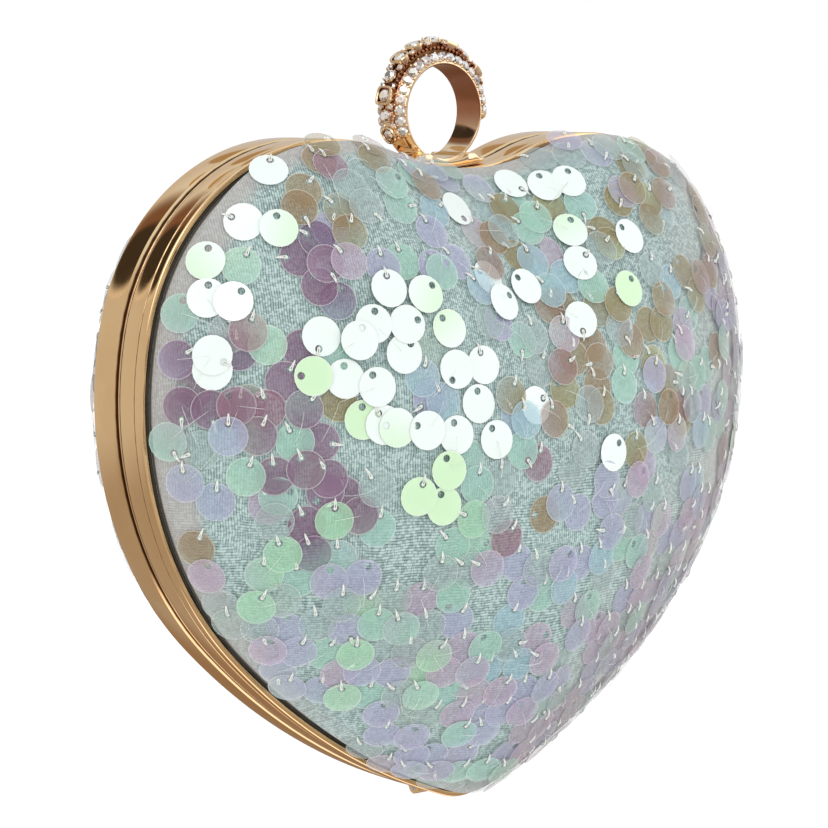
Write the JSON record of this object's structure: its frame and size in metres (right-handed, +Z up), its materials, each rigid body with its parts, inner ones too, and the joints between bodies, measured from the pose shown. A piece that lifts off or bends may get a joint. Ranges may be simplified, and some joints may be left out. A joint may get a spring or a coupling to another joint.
{
  "type": "heart shaped purse",
  "caption": "Hard-case heart clutch: two sequined domed halves in metal frames hinged at the tip, held shut by a jewelled finger ring that tilts back.",
  "frame": {"origin": "centre of the finger ring's bore, halfway between the ring's front and back edges", "axes": "+Z up from the heart's tip to the ring, -Y out of the front dome, +X to the right of the front"},
  "size_m": [0.1618, 0.0806, 0.1606],
  "materials": {
    "frame": "polished",
    "ring_gold": "polished",
    "steel": "satin",
    "sequin_knit": "satin",
    "foam": "matte",
    "moulding": "matte",
    "satin": "satin",
    "crystal": "polished"
  },
  "bodies": {
    "back_half": {"back_frame": "frame", "back_shell": "moulding", "back_padding": "foam", "back_cover": "sequin_knit", "back_lining": "satin", "back_hinge_leaf": "frame", "back_hinge_rivets": "steel", "hinge_pin": "steel", "clasp_lugs": "frame", "clasp_pins": "steel", "clasp_spring": "steel"},
    "front_half": {"front_frame": "frame", "front_shell": "moulding", "front_padding": "foam", "front_cover": "sequin_knit", "front_lining": "satin", "front_hinge_leaf": "frame", "front_hinge_rivets": "steel", "catch_spring": "steel"},
    "ring_clasp": {"ring_band": "ring_gold", "ring_crown": "ring_gold", "ring_front_stones": "crystal", "ring_back_stones": "crystal", "ring_cups": "ring_gold", "ring_crown_stones": "crystal", "clasp_tongue": "steel"}
  },
  "joints": [
    {"name": "front_open", "type": "hinge", "parent": "back_half", "child": "front_half", "pos_m": [0, -0.001, -0.1432], "axis": [1, 0, 0], "range_deg": [0, 75], "deforming": ["catch_spring"]},
    {"name": "ring_tilt", "type": "hinge", "parent": "back_half", "child": "ring_clasp", "pos_m": [0, 0.00555, -0.00974], "axis": [-1, 0, 0], "range_deg": [0, 20], "stiffness_Nm_per_rad": 0.02, "springref_deg": -34.38, "deforming": ["clasp_spring"]}
  ]
}
